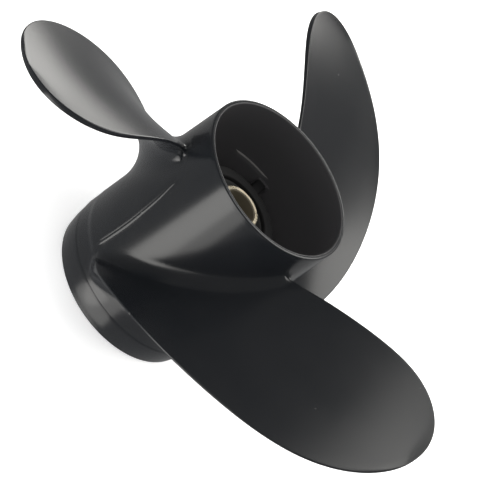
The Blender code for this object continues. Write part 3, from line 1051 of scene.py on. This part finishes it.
def brassMaterial():
    material, tree, shader, place = newMaterial("turnedBrass")
    marks = placeGroup(tree, turning, {"Place": place, "Pitch": brass["markPitch"]})
    cloud = placeGroup(tree, mottle, {"Place": place, "Scale": brass["cloudScale"]})["Value"]
    colour = mixColour(tree, cloud, brass["colour"], brass["dullColour"])
    bore = addRange(tree, marks["Radius"], brass["boreRadius"] + brass["boreBlend"], brass["boreRadius"])
    colour = mixColour(tree, bore, colour, brass["boreColour"])
    tree.links.new(colour, shader.inputs["Base Color"])
    tree.links.new(addMath(tree, "SUBTRACT", 1.0, bore), shader.inputs["Metallic"])
    dull = placeGroup(tree, mottle, {
        "Place": place, "Scale": brass["sheenScale"], "Low": brass["roughLow"], "High": brass["roughHigh"],
    })["Value"]
    tree.links.new(mixValue(tree, bore, dull, brass["boreRough"]), shader.inputs["Roughness"])
    bump = addNode(tree, "ShaderNodeBump", {"Distance": brass["markHeight"], "Height": marks["Height"]})
    tree.links.new(bump.outputs["Normal"], shader.inputs["Normal"])
    return material


sleeveItem.data.materials.append(brassMaterial())
print("materials", len(bpy.data.materials))

# Camera, from the photograph's own perspective
camera = {
    "azimuth": -8.484,
    "elevation": 33.957,
    "roll": -55.236,
    "distance": 1.1328,
    "aim": (10.3 * mm, -1.5 * mm, -30.4 * mm),  # from the middle of the aft rim
    "lens": 223.74,
    "sensor": 36.0,
    "clipEnd": 50.0,
}


def makeCamera():
    lens = bpy.data.cameras.new("camera")
    lens.lens = camera["lens"]
    lens.sensor_width = camera["sensor"]
    lens.clip_end = camera["clipEnd"]
    item = bpy.data.objects.new("camera", lens)
    bpy.context.scene.collection.objects.link(item)
    bpy.context.scene.camera = item
    turn = (
        Matrix.Rotation(math.radians(camera["azimuth"]), 4, "Z")
        @ Matrix.Rotation(math.radians(90.0 - camera["elevation"]), 4, "X")
        @ Matrix.Rotation(math.radians(-camera["roll"]), 4, "Z")
    )
    aim = Vector(camera["aim"]) + Vector((0.0, 0.0, aftRimZ))
    item.matrix_world = Matrix.Translation(aim) @ turn @ Matrix.Translation((0.0, 0.0, camera["distance"]))


makeCamera()

# Pale floor and soft light; the floor is left out of reflections and casts no shadow, so that the low
# softboxes, which stand under it, light the paint and show in it
studio = {
    "floorSize": 4.0,
    "floorColour": (0.93, 0.93, 0.93, 1.0),
    "floorRough": 0.95,
    "floorGlow": 0.45,
    "backdrop": 1.25,
    "aboveGlow": 0.14,
    "belowGlow": 0.32,
    "glowStart": 0.2,  # heights of the looking direction between which the glow changes
    "glowEnd": -0.6,
    "warm": (1.0, 0.985, 0.95),
}
lights = {
    # direction from the object in degrees, distance and size in metres, power in watts
    "lowSoftbox": {
        "shape": "RECTANGLE", "azimuth": -105.0, "elevation": -36.0,
        "distance": 1.2, "width": 0.96, "height": 1.1, "power": 6.6,
    },
    "lowCore": {
        "shape": "ELLIPSE", "azimuth": -114.0, "elevation": -33.0,
        "distance": 1.3, "width": 0.62, "height": 0.9, "power": 2.5,
    },
    "topSoftbox": {
        "shape": "ELLIPSE", "azimuth": 50.0, "elevation": 55.0,
        "distance": 1.4, "width": 1.25, "height": 1.25, "power": 14.0,
    },
    "backSoftbox": {
        "shape": "RECTANGLE", "azimuth": 89.0, "elevation": 13.0,
        "distance": 1.6, "width": 1.0, "height": 0.7, "power": 6.6,
    },
}


def makeFloor():
    size = studio["floorSize"]
    mesh = bpy.data.meshes.new("floor")
    corners = [(-size, -size, 0), (size, -size, 0), (size, size, 0), (-size, size, 0)]
    mesh.from_pydata(corners, [], [(0, 1, 2, 3)])
    item = bpy.data.objects.new("floor", mesh)
    item.location.z = castingLow.z
    item.visible_glossy = False
    item.visible_shadow = False
    bpy.context.scene.collection.objects.link(item)
    material, tree, shader, place = newMaterial("paleFloor")
    shader.inputs["Base Color"].default_value = studio["floorColour"]
    shader.inputs["Roughness"].default_value = studio["floorRough"]
    shader.inputs["Specular IOR Level"].default_value = 0.0
    shader.inputs["Emission Color"].default_value = white
    shader.inputs["Emission Strength"].default_value = studio["floorGlow"]
    mesh.materials.append(material)


def makeWorld():
    # an even white backdrop, with a dimmer studio round it in reflections
    world = bpy.data.worlds.new("studio")
    bpy.context.scene.world = world
    world.use_nodes = True
    tree = world.node_tree
    backdrop = tree.nodes["Background"]
    backdrop.inputs["Strength"].default_value = studio["backdrop"]
    backdrop.inputs["Color"].default_value = white
    way = addNode(tree, "ShaderNodeTexCoord").outputs["Generated"]
    level = addNode(tree, "ShaderNodeSeparateXYZ", {"Vector": way}).outputs["Z"]
    glow = addRange(
        tree, level, studio["glowStart"], studio["glowEnd"], studio["aboveGlow"], studio["belowGlow"]
    )
    room = addNode(tree, "ShaderNodeBackground", {"Strength": glow, "Color": white})
    glossy = addNode(tree, "ShaderNodeLightPath").outputs["Is Glossy Ray"]
    mix = addNode(tree, "ShaderNodeMixShader", {0: glossy, 1: backdrop.outputs[0], 2: room.outputs[0]})
    tree.links.new(mix.outputs[0], tree.nodes["World Output"].inputs["Surface"])


def makeLight(name, shape, azimuth, elevation, distance, width, height, power):
    light = bpy.data.lights.new(name, "AREA")
    light.shape = shape
    light.size, light.size_y = width, height
    light.energy = power
    light.color = studio["warm"]
    item = bpy.data.objects.new(name, light)
    item.visible_camera = False
    item.matrix_world = (
        Matrix.Rotation(math.radians(azimuth + 90.0), 4, "Z")
        @ Matrix.Rotation(math.radians(90.0 - elevation), 4, "X")
        @ Matrix.Translation((0.0, 0.0, distance))
    )
    bpy.context.scene.collection.objects.link(item)


makeFloor()
makeWorld()
for lightName, lightValues in lights.items():
    makeLight(lightName, **lightValues)
bpy.context.scene.view_settings.view_transform = "Standard"
print("studio ready")
